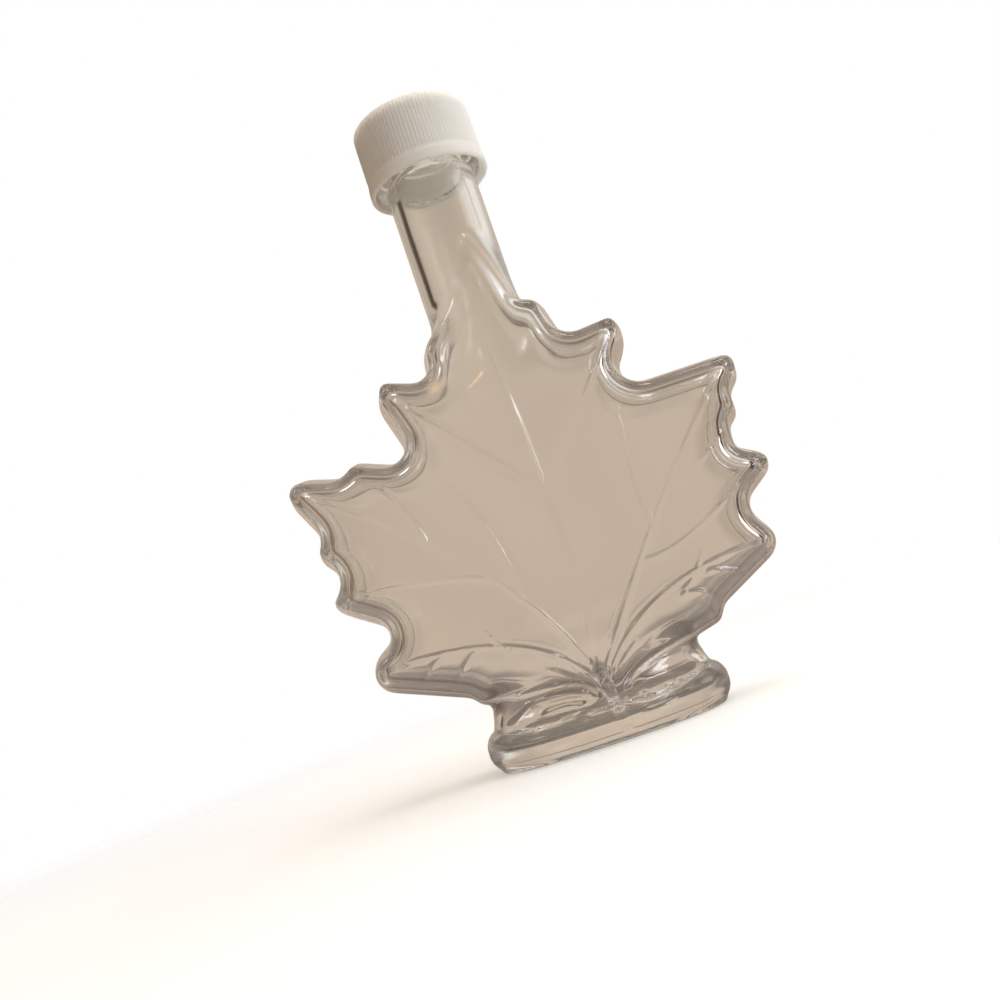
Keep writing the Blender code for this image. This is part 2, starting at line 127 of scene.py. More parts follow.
# Turned neck and the finish that the cap screws on.
NECK_RADIUS = 11.45 * MM
NECK_FOOT_Z = 89.0 * MM
BEAD_RADIUS = 13.6 * MM
BEAD_Z = (144.4 * MM, 147.0 * MM)
FINISH_RADIUS = 12.6 * MM
MOUTH_Z = 159.8 * MM
NECK_BLEND = 2.4 * MM
NECK_WEB_BLEND = 3.6 * MM  # on its front and back the leaf's top lobe runs out in wide webs
NECK_WEB_DEPTHS = (5.0 * MM, 9.0 * MM)
NECK_SOFT = 0.7 * MM  # half the height of the slopes above and below the bead
THREAD_RISE = 1.05 * MM
THREAD_HALF_WIDTH = 0.95 * MM
THREAD_PITCH = 3.6 * MM
THREAD_TURNS = 1.6
THREAD_FADE = 0.08  # part of a turn over which each end comes up
THREAD_START_Z = 150.0 * MM

# Oval foot with a belly, and over it a waist that flares down onto it.
FOOT_HALF_WIDTH = 29.9 * MM
FOOT_HALF_DEPTH = 18.9 * MM
FOOT_BELLY_Z = 5.0 * MM
FOOT_BELLY_REACH = 5.4 * MM
FOOT_BELLY_POWER = 2.6
FOOT_BELLY_LIMIT = 1.2  # reaches from the belly's height past which the side turns in no more
FOOT_ROUNDING = 3.5 * MM
FOOT_POWER = 2.35
FOOT_CENTRE_X = -0.9 * MM
FOOT_TOP_Z = 9.6 * MM
FOOT_TOP_ROUND = 1.2 * MM
FOOT_HEEL_ROUND = 1.0 * MM
WAIST_HALF_WIDTH = 24.9 * MM
WAIST_HALF_DEPTH = 11.5 * MM
WAIST_FLARE = (2.2 * MM, 3.0 * MM)
WAIST_FLARE_Z = 9.6 * MM
WAIST_FLARE_HEIGHT = (5.0 * MM, 4.3 * MM)
WAIST_FLARE_SINK = 0.3 * WAIST_FLARE_HEIGHT[0]  # how far below its height the flare still widens
WAIST_POWER = 3.0
WAIST_TOP_Z = 25.0 * MM
WAIST_BLEND = 1.6 * MM
FOOT_CREASE = 0.7 * MM

# Soft folds of the drape over the foot, on the front and back: (start, bend, end) as (x, z) in
# millimetres, then how far each one rises, or sinks, and its half width.
FOLDS = (
    ((-3.0, 11.6), (-8.0, 13.4), (-15.5, 13.6), 0.9, 1.3),
    ((-15.5, 13.6), (-19.6, 11.6), (-24.0, 9.4), 1.0, 1.5),
    ((-3.4, 9.8), (-9.0, 11.0), (-15.0, 10.8), 0.5, 1.0),
    ((6.4, 9.8), (15.0, 9.6), (25.0, 10.2), 1.0, 1.3),
    ((8.4, 11.8), (14.0, 14.0), (21.0, 14.6), 0.8, 2.2),
    ((21.0, 13.6), (23.2, 12.2), (25.0, 10.8), 0.4, 0.7),
    ((-1.8, 9.8), (-14.0, 7.9), (-25.4, 9.2), -0.7, 0.8),
    ((5.4, 6.6), (14.0, 6.7), (24.6, 9.6), -0.5, 0.8),
    ((3.9, 7.6), (9.4, 14.2), (24.0, 17.0), 0.6, 0.65),
    ((-1.3, 10.6), (-6.4, 15.4), (-22.0, 16.0), 0.5, 0.65),
)
FOLD_DEPTHS = (5.0 * MM, 9.0 * MM)  # depths from the mould seam between which the folds come in
FOLD_ENDS = (4.0, 0.05)  # how steeply a fold comes up at its ends, and how much before them it starts
FOLD_POINTS = 33

# Stem: a tapering ridge from the leaf's lower middle down over the front and back of the foot.
STEM_POINTS = (
    (0.2 * MM, 11.9 * MM, 22.0 * MM),
    (0.5 * MM, 13.0 * MM, 15.5 * MM),
    (1.0 * MM, 14.6 * MM, 11.6 * MM),
    (1.5 * MM, 16.7 * MM, 9.4 * MM),
    (1.9 * MM, 18.2 * MM, 7.4 * MM),
    (2.3 * MM, 17.9 * MM, 4.2 * MM),
)
STEM_RADII = (1.2 * MM, 1.1 * MM)
STEM_BLEND = 0.9 * MM

# Leaf veins, raised on both faces: (start, bend, end, height share) in millimetres, as (x, z).
VEINS = (
    ((0.6, 13.0), (2.2, 53.0), (0.4, 99.0), 1.0),
    ((1.4, 15.0), (24.0, 45.0), (47.5, 70.5), 1.0),
    ((0.0, 15.0), (-17.0, 45.0), (-49.5, 75.0), 1.0),
    ((2.0, 14.0), (20.0, 28.0), (46.0, 32.0), 1.0),
    ((-1.0, 15.0), (-18.0, 28.0), (-46.0, 31.5), 1.0),
    ((18.5, 36.5), (31.0, 39.0), (49.0, 49.0), 0.8),
    ((-16.6, 43.8), (-29.0, 47.5), (-48.5, 50.0), 0.8),
    ((30.2, 52.4), (37.0, 53.6), (44.5, 58.5), 0.7),
    ((-27.6, 55.6), (-29.5, 63.0), (-34.0, 73.0), 0.7),
    ((1.6, 59.0), (14.0, 72.0), (28.0, 90.0), 0.8),
    ((1.4, 62.0), (-12.0, 77.0), (-25.5, 92.5), 0.8),
    ((22.8, 42.2), (22.6, 57.0), (24.0, 72.0), 0.7),
    ((-10.6, 32.0), (-12.8, 53.0), (-20.0, 69.0), 0.6),
    ((25.0, 27.6), (29.0, 31.0), (33.0, 37.0), 0.7),
    ((-17.4, 26.6), (-20.6, 31.0), (-23.4, 36.6), 0.7),
    ((24.2, 26.4), (29.0, 25.2), (31.6, 21.4), 0.7),
    ((31.6, 29.6), (35.6, 28.4), (39.6, 26.6), 0.6),
    ((-25.4, 29.0), (-28.6, 26.4), (-31.2, 23.6), 0.7),
    ((-33.0, 30.4), (-36.0, 28.6), (-38.6, 26.4), 0.6),
)
VEIN_RISE = 0.5 * MM
VEIN_HALF_WIDTH = 0.75 * MM
VEIN_SINK = 0.75  # share of its rise that a vein loses by its end
VEIN_NARROW = 0.3  # and share of its width
VEIN_POINTS = 41

# Where the veins meet, short fine ribs fan out over the face from the stem.
FAN_CENTRE = (0.3, 12.5)
FAN_RIBS = 9
FAN_SPREAD = math.radians(124.0)
FAN_REACH = (5.5, 15.0)  # in millimetres from the centre
FAN_MIDDLE = 0.72  # length of the middle rib, as a share of the reach
FAN_RISE = 0.28 * MM
FAN_HALF_WIDTH = 0.7 * MM
FAN_POINTS = 9

BACK_RELIEF = 0.4  # share of the front's veins and folds that the back has
BACK_STARTS = (-5.0 * MM, 5.0 * MM)  # depths between which the front's relief turns into the back's

# Cavity: how far it lies inside the outer form.
WALL = 2.3 * MM
CAVITY_RIM_ROUND = 3.6 * MM
CAVITY_FLOOR_Z = 4.6 * MM
BORE_RADIUS = 8.6 * MM
CAVITY_BLEND = 6.0 * MM
CAVITY_TOP_FADE = (86.0 * MM, 112.0 * MM)  # above these heights the cavity is the neck's plain bore
CAVITY_TOP_DEPTH = 0.8 * BORE_RADIUS
MOUTH_LIP_ROUND = 0.6 * MM

# Maps of the leaf's plan, and the net laid over the glass.
MAP_STEP = 0.3 * MM
MAP_MARGIN = 8.0 * MM
RIM_SOFTEN = 0.7 * MM
CAVITY_SOFTEN = 1.0 * MM
NET_LOW = (-62.4 * MM, -21.0 * MM, -1.8 * MM)
NET_HIGH = (62.4 * MM, 21.0 * MM, 161.4 * MM)
NET_STEP = np.array((0.57, 0.95, 0.57)) * MM
NET_BLOCK = (5, 3, 5)  # cells to a side of the blocks that are tried first
NET_REACH = 3.2 * MM  # a block whose middle is further than this from the surface is passed over
EVEN_STEPS = 3
SNAP_LIMIT = 0.3  # the furthest that a vertex moves in one step, as a share of the net's smallest step
LEAST_SLOPE = 0.1  # the least squared slope that a move is worked out with
SLOPE_STEP = 0.02 * MM

# Cap sizes.
CAP_TOP_Z = 161.6 * MM
CAP_EDGE_RADIUS = 15.05 * MM
CAP_EDGE_ROUND = 1.2 * MM
CAP_EDGE_TURNS = (15, 30, 45, 60, 75, 90)  # degrees round the top's edge
CAP_RIBS_END = 60  # and where on it the ribs run out
CAP_GROOVE_DEPTH = 0.27 * MM
CAP_RIBS = 100
CAP_STEPS_A_RIB = 8
CAP_SHARP = math.radians(50)
CAP_WELD = 0.001 * MM
AXIS = 0.0005  # nearest that the profile comes to the cap's axis, where its points are welded to one
# The cap's profile as (radius, height, share of the ribs' depth) in millimetres. The wall inside is plain,
# because the glass hides the thread there.
CAP_INSIDE = (
    (AXIS, 160.15, 0),
    (6.0, 160.15, 0),
    (12.2, 160.15, 0),
    (12.4, 160.0, 0),
    (12.7, 160.0, 0),
    (12.9, 160.15, 0),
    (13.7, 160.15, 0),
    (14.1, 159.75, 0),
    (14.1, 145.0, 0),
    (14.2, 144.5, 0),
    (14.45, 143.95, 0),
    (14.65, 143.8, 0),
)
CAP_BAND = (
    (14.95, 143.8, 0),
    (15.24, 143.92, 0),
    (15.38, 144.2, 0),
    (15.4, 144.7, 0),
    (15.36, 146.3, 0),
    (15.3, 146.9, 0),
    (15.18, 147.2, 0),
)
CAP_RIBBED = (
    (15.12, 147.5, 0.4),
    (15.12, 148.0, 1),
    (15.09, 155.6, 1),
    (15.05, 160.0, 1),
)
CAP_DISH = (
    (13.0, 161.6, 0),
    (12.6, 161.48, 0),
    (7.0, 161.46, 0),
    (AXIS, 161.45, 0),
)

# Camera: where it stands in the bottle's frame, and what it has to its right, below it and before it.
SENSOR_WIDTH = 36.0
FOCAL_LENGTH = 36.0
CLIP = (0.005, 20.0)
CAMERA_AT = Vector((0.415, -243.747, 33.734)) * MM
CAMERA_RIGHT = Vector((0.94480126, 0.07319109, -0.31936444))
CAMERA_DOWN = Vector((-0.32543002, 0.09650676, -0.94062838))
CAMERA_FORWARD = Vector((-0.03802479, 0.99263765, 0.11499828))

# Finishes.
GLASS_POLISH = (0.055, 0.085)
GLASS_INNER_ROUGHNESS = 0.28  # the most added to the polish for light that has turned inside the glass
GLASS_INNER_TURNS = (1.0, 4.0)  # turns up to which none of it is added, and from which all of it is
CAP_PALE = (0.86, 0.84, 0.81, 1.0)
CAP_DULL = (0.80, 0.77, 0.73, 1.0)
CAP_POLISH = (0.36, 0.5)
CAP_TRANSLUCENCE = 0.38

# Floor: a disc just under the foot. Seen in the glass it is paler before the bottle than behind it, where
# its dark colour is painted shade.
FLOOR_RADIUS = 0.42
FLOOR_DROP = 0.15 * MM
FLOOR_FADE = (0.05, 0.30)  # distances from the middle between which the floor fades out
FLOOR_COLOUR = (0.92, 0.935, 0.95, 1.0)
FLOOR_FRONT = (0.62, 0.60, 0.56, 1.0)
FLOOR_BACK_SHADE = (0.15, 0.12, 0.11, 1.0)
FLOOR_DARKENS = (-0.05, 0.0)  # depths between which the front's colour turns into the back's

# The room's walls by height, from straight down (-1) to straight up (1), and what stands before them.
ROOM_HEIGHTS = (
    (-1.0, (0.20, 0.16, 0.13, 1.0)),
    (-0.25, (0.55, 0.46, 0.38, 1.0)),
    (0.0, (0.66, 0.53, 0.415, 1.0)),
    (0.45, (0.60, 0.50, 0.40, 1.0)),
    (1.0, (0.40, 0.345, 0.28, 1.0)),
)
ROOM_CLUTTER = (0.37, 0.28, 0.22, 1.0)
# Patches of the room: (direction, full within these degrees, gone past these, colour).
ROOM_PATCHES = (
    ((0.0, -1.0, 0.0), 25.0, 70.0, (0.26, 0.20, 0.145, 1.0)),
    ((-1.0, 0.0, 0.05), 12.0, 40.0, (0.26, 0.18, 0.12, 1.0)),
    ((0.9, 0.35, -0.1), 12.0, 26.0, (0.08, 0.06, 0.05, 1.0)),
    ((0.1, 0.2, 1.0), 6.0, 20.0, (0.22, 0.17, 0.14, 1.0)),
    ((-0.76, 0.52, 0.38), 9.0, 15.0, (0.05, 0.03, 0.022, 1.0)),
    ((0.55, 0.62, 0.45), 10.0, 22.0, (0.90, 0.87, 0.82, 1.0)),
    ((1.0, -0.12, 0.3), 9.0, 14.0, (2.6, 2.6, 2.55, 1.0)),
    ((-0.45, 0.1, 1.0), 5.0, 9.0, (2.0, 2.0, 2.0, 1.0)),
    ((0.49, -0.84, 0.22), 4.0, 6.5, (10.0, 10.2, 11.2, 1.0)),
    ((-0.57, -0.46, 0.68), 4.5, 7.0, (9.0, 9.2, 10.0, 1.0)),
    ((0.3, -0.42, 0.86), 4.0, 7.0, (8.0, 8.0, 7.8, 1.0)),
    ((-0.15, -0.75, 0.64), 0.8, 1.8, (13.0, 8.4, 3.6, 1.0)),
)
# Soft light on the cap and the floor, from the left and from the right.
SOFT_LEFT = (0.40, 0.26, 0.14, 1.0)
SOFT_RIGHT = (0.80, 0.79, 0.74, 1.0)

# Lamps: (name, place, target, size, power, colour).
LAMPS = (
    ("key", (0.48, -0.30, 0.32), (0.0, 0.0, 0.13), 0.2, 1.5, (1.0, 0.99, 0.97)),
    ("overhead", (0.15, 0.02, 0.55), (0.0, 0.0, 0.0), 0.4, 2.6, (1.0, 0.98, 0.95)),
)
LIGHT_BOUNCES = 32


def smooth_step(value, low, high):
    t = np.clip((value - low) / (high - low), 0.0, 1.0)
    return t * t * (3.0 - 2.0 * t)


def smooth_max(a, b, radius):
    """The larger of two fields, with the edge where they meet rounded."""
    h = np.maximum(radius - np.abs(a - b), 0.0) / radius
    return np.maximum(a, b) + h * h * radius * 0.25


def smooth_min(a, b, radius):
    return -smooth_max(-a, -b, radius)


def rounded_polygon(corners):
    """Points in metres round a polygon whose corners (x, z, radius) are filleted."""
    corners = np.array(corners, float)
    points = []
    for here, before, after in zip(corners, np.roll(corners, 1, 0), np.roll(corners, -1, 0)):
        to_before = before[:2] - here[:2]
        to_after = after[:2] - here[:2]
        room = CORNER_ROOM * min(np.linalg.norm(to_before), np.linalg.norm(to_after))
        to_before /= np.linalg.norm(to_before)
        to_after /= np.linalg.norm(to_after)
        half = 0.5 * math.acos(np.clip(to_before @ to_after, -1.0, 1.0))
        reach = min(here[2] / math.tan(half), room)
        radius = reach * math.tan(half)
        bisector = to_before + to_after
        centre = here[:2] + bisector / np.linalg.norm(bisector) * math.hypot(reach, radius)
        start = here[:2] + to_before * reach - centre
        end = here[:2] + to_after * reach - centre
        turn = math.pi - 2.0 * half
        steps = max(2, int(turn / ARC_STEP) + 1)
        sine = math.sin(turn)
        for step in range(steps + 1):
            t = step / steps
            mix = math.sin((1 - t) * turn) * start + math.sin(t * turn) * end
            points.append(centre + mix / sine)
    return np.array(points) * MM


def signed_distance(x, z, outline):
    """Distance to a closed outline, positive inside it, at each point of equal arrays."""
    points = np.stack([x.ravel(), z.ravel()], 1)
    nearest = np.full(len(points), np.inf)
    inside = np.zeros(len(points), bool)
    for a, b in zip(outline, np.roll(outline, -1, 0)):
        edge = b - a
        offset = points - a
        along = np.clip(offset @ edge / (edge @ edge), 0.0, 1.0)
        nearest = np.minimum(nearest, ((offset - along[:, None] * edge) ** 2).sum(1))
        if a[1] != b[1]:
            crosses = (a[1] > points[:, 1]) != (b[1] > points[:, 1])
            at = a[0] + (points[:, 1] - a[1]) * edge[0] / edge[1]
            inside ^= crosses & (points[:, 0] < at)
    return (np.sqrt(nearest) * np.where(inside, 1.0, -1.0)).reshape(x.shape)


def blurred(values, sigma):
    """The map softened by a Gaussian of that width, with its borders held."""
    reach = int(3 * sigma / MAP_STEP) + 1
    kernel = np.exp(-0.5 * (np.arange(-reach, reach + 1) * MAP_STEP / sigma) ** 2)
    kernel /= kernel.sum()
    for axis in (0, 1):
        pad = [(reach, reach) if a == axis else (0, 0) for a in (0, 1)]
        padded = np.pad(values, pad, mode="reflect", reflect_type="odd")
        values = np.apply_along_axis(np.convolve, axis, padded, kernel, mode="valid")
    return values


def curve_points(start, bend, end, count):
    """Points in metres along a curve that passes through its bend at its middle."""
    start, bend, end = (np.array(p) * MM for p in (start, bend, end))
    pull = 2.0 * bend - 0.5 * (start + end)
    t = np.linspace(0.0, 1.0, count)[:, None]
    return (1 - t) ** 2 * start + 2 * t * (1 - t) * pull + t * t * end


def ridge(x, z, points, rise, half_width):
    """A rounded ridge along the points, whose rise and half width are given at each of them."""
    relief = np.zeros(x.shape)
    for i in range(len(points) - 1):
        a, b = points[i], points[i + 1]
        edge = b - a
        near = (np.abs(x - a[0]) < 4 * half_width[i] + abs(edge[0]))
        near &= (np.abs(z - a[1]) < 4 * half_width[i] + abs(edge[1]))
        px, pz = x[near] - a[0], z[near] - a[1]
        along = np.clip((px * edge[0] + pz * edge[1]) / (edge @ edge), 0.0, 1.0)
        away = ((px - along * edge[0]) ** 2 + (pz - along * edge[1]) ** 2)
        width = half_width[i] + (half_width[i + 1] - half_width[i]) * along
        height = rise[i] + (rise[i + 1] - rise[i]) * along
        relief[near] = np.maximum(relief[near], height * np.exp(-away / width**2))
    return relief


def vein_relief(x, z):
    """How far the veins rise over the face, as a map."""
    relief = np.zeros(x.shape)
    for start, bend, end, share in VEINS:
        points = curve_points(start, bend, end, VEIN_POINTS)
        t = np.linspace(0.0, 1.0, VEIN_POINTS)
        rise = share * VEIN_RISE * (1.0 - VEIN_SINK * t * t)
        half_width = VEIN_HALF_WIDTH * (1.0 - VEIN_NARROW * t)
        relief = np.maximum(relief, ridge(x, z, points, rise, half_width))
    middle = np.array(FAN_CENTRE)
    for k in range(FAN_RIBS):
        lean = FAN_SPREAD * ((k + 0.5) / FAN_RIBS - 0.5)
        way = np.array((math.sin(lean), math.cos(lean)))
        start = middle + way * FAN_REACH[0]
        end = middle + way * FAN_REACH[1] * (FAN_MIDDLE + (1 - FAN_MIDDLE) * abs(math.sin(lean)))
        points = curve_points(start, 0.5 * (start + end), end, FAN_POINTS)
        rise = FAN_RISE * np.sin(np.linspace(0.15, 1.0, FAN_POINTS) * math.pi) ** 0.7
        half_width = np.full(FAN_POINTS, FAN_HALF_WIDTH)
        relief = np.maximum(relief, ridge(x, z, points, rise, half_width))
    return relief


def fold_relief(x, z):
    """How far the drape's folds rise, and its creases sink, as a map."""
    relief = np.zeros(x.shape)
    for start, bend, end, rise, half_width in FOLDS:
        points = curve_points(start, bend, end, FOLD_POINTS)
        t = np.linspace(0.0, 1.0, FOLD_POINTS)
        steepness, early = FOLD_ENDS
        swell = np.minimum(1.0, steepness * np.minimum(t + early, 1.0 + early - t)) * abs(rise) * MM
        half_widths = np.full(FOLD_POINTS, half_width * MM)
        relief += math.copysign(1.0, rise) * ridge(x, z, points, swell, half_widths)
    return relief


class Map:
    """A map over the leaf's plan, read anywhere by cubic interpolation."""

    def __init__(self, x_low, z_low, values):
        self.low = (x_low, z_low)
        self.values = values

    def __call__(self, x, z):
        x, z = np.broadcast_arrays(x, z)
        found = 0.0
        weights = []
        for axis, value in enumerate((x, z)):
            place = (value - self.low[axis]) / MAP_STEP
            place = np.clip(place, 1.0, self.values.shape[axis] - 2.001)
            cell = np.floor(place).astype(int)
            t = place - cell
            weights.append((cell, (
                t * (-0.5 + t * (1.0 - 0.5 * t)),
                1.0 + t * t * (-2.5 + 1.5 * t),
                t * (0.5 + t * (2.0 - 1.5 * t)),
                t * t * (-0.5 + 0.5 * t),
            )))
        (i, across), (k, up) = weights
        for di in range(4):
            for dk in range(4):
                found = found + across[di] * up[dk] * self.values[i + di - 1, k + dk - 1]
        return found


def leaf_maps():
    """Maps of the distance inside the outline, for the outer form and for the cavity, and of the veins."""
    outline = rounded_polygon(RIGHT_CORNERS + SWAG_CORNERS + LEFT_CORNERS)
    low = outline.min(0) - MAP_MARGIN
    high = outline.max(0) + MAP_MARGIN
    x, z = np.meshgrid(
        np.arange(low[0], high[0], MAP_STEP), np.arange(low[1], high[1], MAP_STEP), indexing="ij"
    )
    distance = signed_distance(x, z, outline)
    return tuple(
        Map(low[0], low[1], values)
        for values in (
            blurred(distance, RIM_SOFTEN),
            blurred(distance, CAVITY_SOFTEN),
            vein_relief(x, z),
            fold_relief(x, z),
        )
    )


OUTER_INSIDE, CAVITY_INSIDE, VEIN_MAP, FOLD_MAP = leaf_maps()


def slab(inside, y, face, rim_round):
    """A slab of half depth `face` within the leaf's plan, with drafted sides and a rounded rim."""
    depth = np.sqrt(y * y + LEAF_SEAM_ROUND**2) - LEAF_SEAM_ROUND
    side = -inside * math.cos(LEAF_DRAFT) + depth * math.sin(LEAF_DRAFT)
    return smooth_max(side, np.abs(y) - face, rim_round)


def face_depth(inside, x, z):
    """Half depth of the leaf's faces: a low dome that thins up the neck."""
    from_centre = ((x - LEAF_CROWN_CENTRE[0]) ** 2 + (z - LEAF_CROWN_CENTRE[1]) ** 2) / LEAF_CROWN_REACH**2
    dome = LEAF_DOME * smooth_step(inside, 0.0, LEAF_DOME_REACH) - LEAF_CROWN * np.minimum(from_centre, 1.0)
    dome = dome - LEAF_HEM_DROP * (1 - smooth_step(z, *LEAF_HEM_Z))
    up_neck = smooth_step(z, *LEAF_TOP_FADE)
    return (LEAF_HALF_DEPTH + LEAF_CROWN + dome) * (1 - up_neck) + LEAF_TOP_DEPTH * up_neck


def thread_rise(x, y, z):
    """Height of the helical thread over the finish."""
    turn = np.arctan2(y, x) / (2 * math.pi) + 0.5
    rise = np.zeros(np.broadcast(x, y, z).shape)
    for lap in range(int(THREAD_TURNS) + 1):
        turned = turn + lap
        centre = THREAD_START_Z + THREAD_PITCH * turned
        share = smooth_step(turned, 0.0, THREAD_FADE)
        share = share * (1 - smooth_step(turned, THREAD_TURNS - THREAD_FADE, THREAD_TURNS))
        rise = np.maximum(rise, share * np.exp(-(((z - centre) / THREAD_HALF_WIDTH) ** 2)))
    return THREAD_RISE * rise


def neck_radius(z):
    """Outer radius of the neck: plain, then the bead under the cap, then the finish."""
    bead, finish = (smooth_step(z, level - NECK_SOFT, level + NECK_SOFT) for level in BEAD_Z)
    return NECK_RADIUS + (BEAD_RADIUS - NECK_RADIUS) * bead - (BEAD_RADIUS - FINISH_RADIUS) * finish


def oval(x, y, half_width, half_depth, power):
    """Distance out of a rounded oval plan."""
    ratio = (np.abs(x / half_width) ** power + np.abs(y / half_depth) ** power) ** (1 / power)
    # The way to the wall is half_depth long across the oval's middle and half_width along it.
    return (ratio - 1.0) * np.minimum(np.hypot(x, y) / np.maximum(ratio, 1e-6), half_width)


def foot(x, y, z, inset):
    """The foot and the waist that flares down onto it, drawn in by `inset`."""
    x = x - FOOT_CENTRE_X
    from_belly = np.minimum(np.abs(z - FOOT_BELLY_Z) / FOOT_BELLY_REACH, FOOT_BELLY_LIMIT)
    rounding = FOOT_ROUNDING * from_belly**FOOT_BELLY_POWER + inset
    base = oval(x, y, FOOT_HALF_WIDTH - rounding, FOOT_HALF_DEPTH - rounding, FOOT_POWER)
    base = smooth_max(base, z - FOOT_TOP_Z + inset, FOOT_TOP_ROUND)
    above = np.maximum(z - WAIST_FLARE_Z, -WAIST_FLARE_SINK)
    wide, deep = (f * np.exp(-above / h) for f, h in zip(WAIST_FLARE, WAIST_FLARE_HEIGHT))
    waist = oval(x, y, WAIST_HALF_WIDTH + wide - inset, WAIST_HALF_DEPTH + deep - inset, WAIST_POWER)
    waist = smooth_max(waist, z - WAIST_TOP_Z, WAIST_BLEND)
    return smooth_min(base, waist, FOOT_CREASE + inset)


def stem(x, y, z):
    """A tapering tube through the stem's points, mirrored to the back."""
    points = np.array(STEM_POINTS)
    field = np.full(np.broadcast(x, y, z).shape, 1.0)
    spans = len(points) - 1
    for i in range(spans):
        a, b = points[i], points[i + 1]
        edge = b - a
        offset = (x - a[0], np.abs(y) - a[1], z - a[2])
        along = np.clip(sum(o * e for o, e in zip(offset, edge)) / (edge @ edge), 0.0, 1.0)
        away = np.sqrt(sum((o - along * e) ** 2 for o, e in zip(offset, edge)))
        radius = STEM_RADII[0] + (STEM_RADII[1] - STEM_RADII[0]) * (i + along) / spans
        field = smooth_min(field, away - radius, STEM_BLEND)
    return field


def outer_form(x, y, z):
    """Distance out of the bottle's outer form: leaf, neck, foot, folds and stem."""
    inside = OUTER_INSIDE(x, z)
    share = 1 - (1 - BACK_RELIEF) * smooth_step(y, *BACK_STARTS)
    leaf = slab(inside, y, face_depth(inside, x, z) + VEIN_MAP(x, z) * share, LEAF_RIM_ROUND)
    neck = np.hypot(x, y) - neck_radius(z) - thread_rise(x, y, z)
    neck = smooth_max(neck, NECK_FOOT_Z - z, NECK_BLEND)
    blend = NECK_BLEND + (NECK_WEB_BLEND - NECK_BLEND) * smooth_step(np.abs(y), *NECK_WEB_DEPTHS)
    body = smooth_min(leaf, neck, blend)
    body = smooth_min(body, foot(x, y, z, 0.0), WAIST_BLEND)
    body = body - FOLD_MAP(x, z) * share * smooth_step(np.abs(y), *FOLD_DEPTHS)
    body = smooth_min(body, stem(x, y, z), STEM_BLEND)
    body = smooth_max(body, z - MOUTH_Z, MOUTH_LIP_ROUND)
    return smooth_max(body, -z, FOOT_HEEL_ROUND)


def cavity(x, y, z):
    """Distance out of the hollow, which runs from the foot through the leaf to the mouth."""
    inside = CAVITY_INSIDE(x, z)
    up_neck = smooth_step(z, *CAVITY_TOP_FADE)
    face = (face_depth(inside, x, z) - WALL) * (1 - up_neck) + CAVITY_TOP_DEPTH * up_neck
    leaf = slab(inside - WALL, y, face, CAVITY_RIM_ROUND)
    bore = smooth_max(np.hypot(x, y) - BORE_RADIUS, NECK_FOOT_Z - z, CAVITY_BLEND)
    hollow = smooth_min(smooth_min(leaf, bore, CAVITY_BLEND), foot(x, y, z, WALL), CAVITY_BLEND)
    return smooth_max(hollow, CAVITY_FLOOR_Z - z, CAVITY_RIM_ROUND)


def glass(x, y, z):
    """Negative in the glass: inside the outer form and outside the cavity."""
    return smooth_max(outer_form(x, y, z), -cavity(x, y, z), MOUTH_LIP_ROUND)


def evened(vertices, quads):
    """The vertices moved half way to the middle of their neighbours."""
    total = np.zeros(vertices.shape)
    count = np.zeros(len(vertices))
    for here, there in zip(quads.T, np.roll(quads, 1, 1).T):
        for a, b in ((here, there), (there, here)):
            count += np.bincount(a, minlength=len(vertices))
            for axis in range(3):
                total[:, axis] += np.bincount(a, weights=vertices[b, axis], minlength=len(vertices))
    return 0.5 * vertices + 0.5 * total / count[:, None]


def snapped(field, vertices):
    """The vertices moved onto the field's zero surface along its slope."""
    here = field(*vertices.T)
    slope = slope_of(field, vertices)
    move = here[:, None] * slope / np.maximum((slope**2).sum(1), LEAST_SLOPE)[:, None]
    limit = SNAP_LIMIT * NET_STEP.min()
    length = np.maximum(np.linalg.norm(move, axis=1), 1e-9)
    return vertices - move * np.minimum(1.0, limit / length)[:, None]


def slope_of(field, vertices):
    """The field's slope at each vertex, which points out of the glass."""
    tiny = SLOPE_STEP
    x, y, z = vertices.T
    return np.stack([
        field(x + tiny, y, z) - field(x - tiny, y, z),
        field(x, y + tiny, z) - field(x, y - tiny, z),
        field(x, y, z + tiny) - field(x, y, z - tiny),
    ], 1) / (2 * tiny)


def near_blocks(field, axes):
    """The field at the middles of the grid's blocks, spread over their cells."""
    middles = [
        axis[::block] + 0.5 * (block - 1) * step for axis, block, step in zip(axes, NET_BLOCK, NET_STEP)
    ]
    coarse = field(middles[0][:, None, None], middles[1][None, :, None], middles[2][None, None, :])
    for along, block in enumerate(NET_BLOCK):
        coarse = coarse.repeat(block, along)
    return coarse[:len(axes[0]), :len(axes[1]), :len(axes[2])]


def surface_net(field, low, high):
    """Vertices and quads over the field's zero surface, one vertex for each cell that it crosses."""
    axes = [np.arange(a, b + s, s) for a, b, s in zip(low, high, NET_STEP)]
    values = near_blocks(field, axes)
    near = np.abs(values) < NET_REACH
    values[near] = field(*(axis[index] for axis, index in zip(axes, np.nonzero(near))))
    grid = openvdb.FloatGrid(1.0)
    grid.copyFromArray(values / NET_STEP.min())
    vertices, quads = grid.convertToQuads(0.0)
    vertices = vertices * NET_STEP + np.array(low)
    for _ in range(EVEN_STEPS):
        vertices = snapped(field, evened(vertices, quads))
    return vertices, quads


def unit_normals(field, vertices):
    """The glass's outward directions at the vertices."""
    normals = slope_of(field, vertices)
    return normals / np.linalg.norm(normals, axis=1)[:, None]


